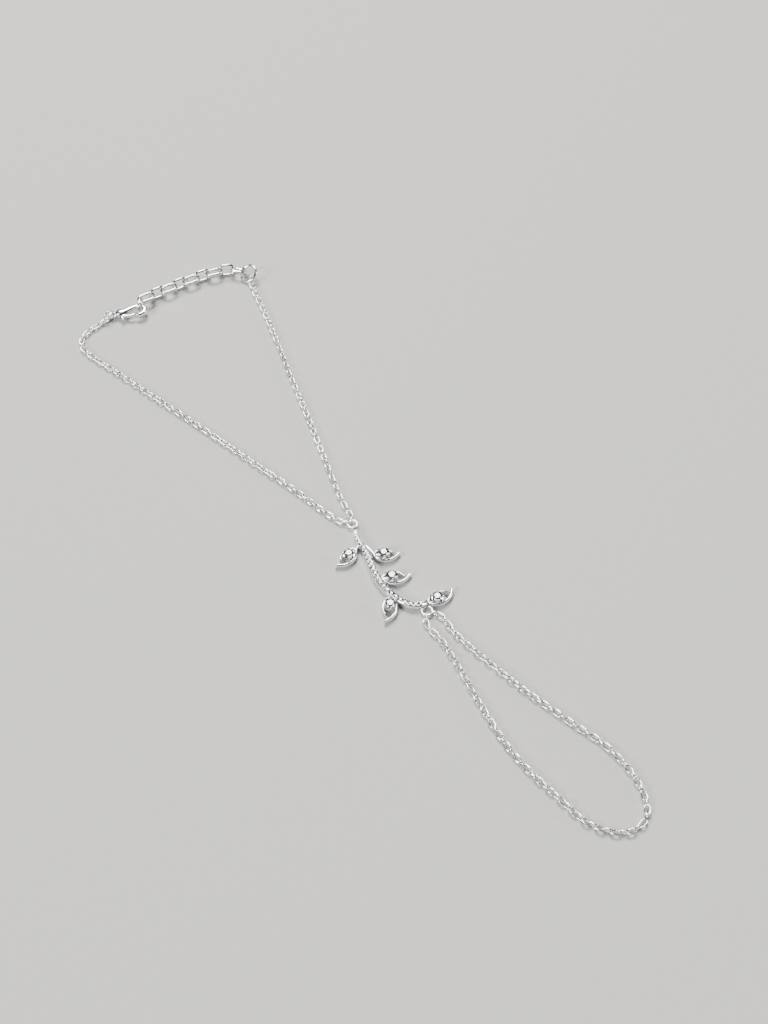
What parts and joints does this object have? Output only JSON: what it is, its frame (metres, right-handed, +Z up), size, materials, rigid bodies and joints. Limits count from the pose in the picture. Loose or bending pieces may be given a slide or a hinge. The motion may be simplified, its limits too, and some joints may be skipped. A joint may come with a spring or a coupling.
{
  "type": "hand chain bracelet",
  "caption": "Silver hand chain bracelet lying flat: clasped wrist chain with an extender, a stone-set leafy vine and a fine chain loop for the finger.",
  "frame": {"origin": "under the middle of the whole piece, on the surface it lies on", "axes": "+Z up from the surface, +Y along the bracelet towards the clasp and extender, -Y towards the finger loop"},
  "size_m": [0.0439, 0.159, 0.003],
  "materials": {
    "silver": "polished silver",
    "stone": "clear, cut and polished"
  },
  "bodies": {
    "bracelet": {"vine": "silver", "pave_stones": "stone", "leaf_stone_1": "stone", "leaf_stone_2": "stone", "leaf_stone_3": "stone", "leaf_stone_4": "stone", "leaf_stone_5": "stone", "junction_ring": "silver", "wrist_chain_clasp_side": "silver", "wrist_chain_extender_side": "silver", "finger_chain": "silver", "clasp_ring": "silver", "clasp_body": "silver", "extender_link_1": "silver", "extender_link_2": "silver", "extender_link_3": "silver", "extender_link_4": "silver", "extender_link_5": "silver", "extender_link_6": "silver", "extender_link_7": "silver", "extender_link_8": "silver", "extender_link_9": "silver", "extender_link_10": "silver", "extender_end_ring": "silver", "extender_joining_ring": "silver"},
    "clasp_lever": {"clasp_lever": "silver"}
  },
  "joints": [
    {"name": "clasp_lever_hinge", "type": "hinge", "parent": "bracelet", "child": "clasp_lever", "pos_m": [-0.01013, 0.07651, 0.00106], "axis": [-0.0796, 0.0354, 0.9962], "range_deg": [0, 24], "stiffness_Nm_per_rad": 0.002, "springref_deg": -2.86}
  ]
}
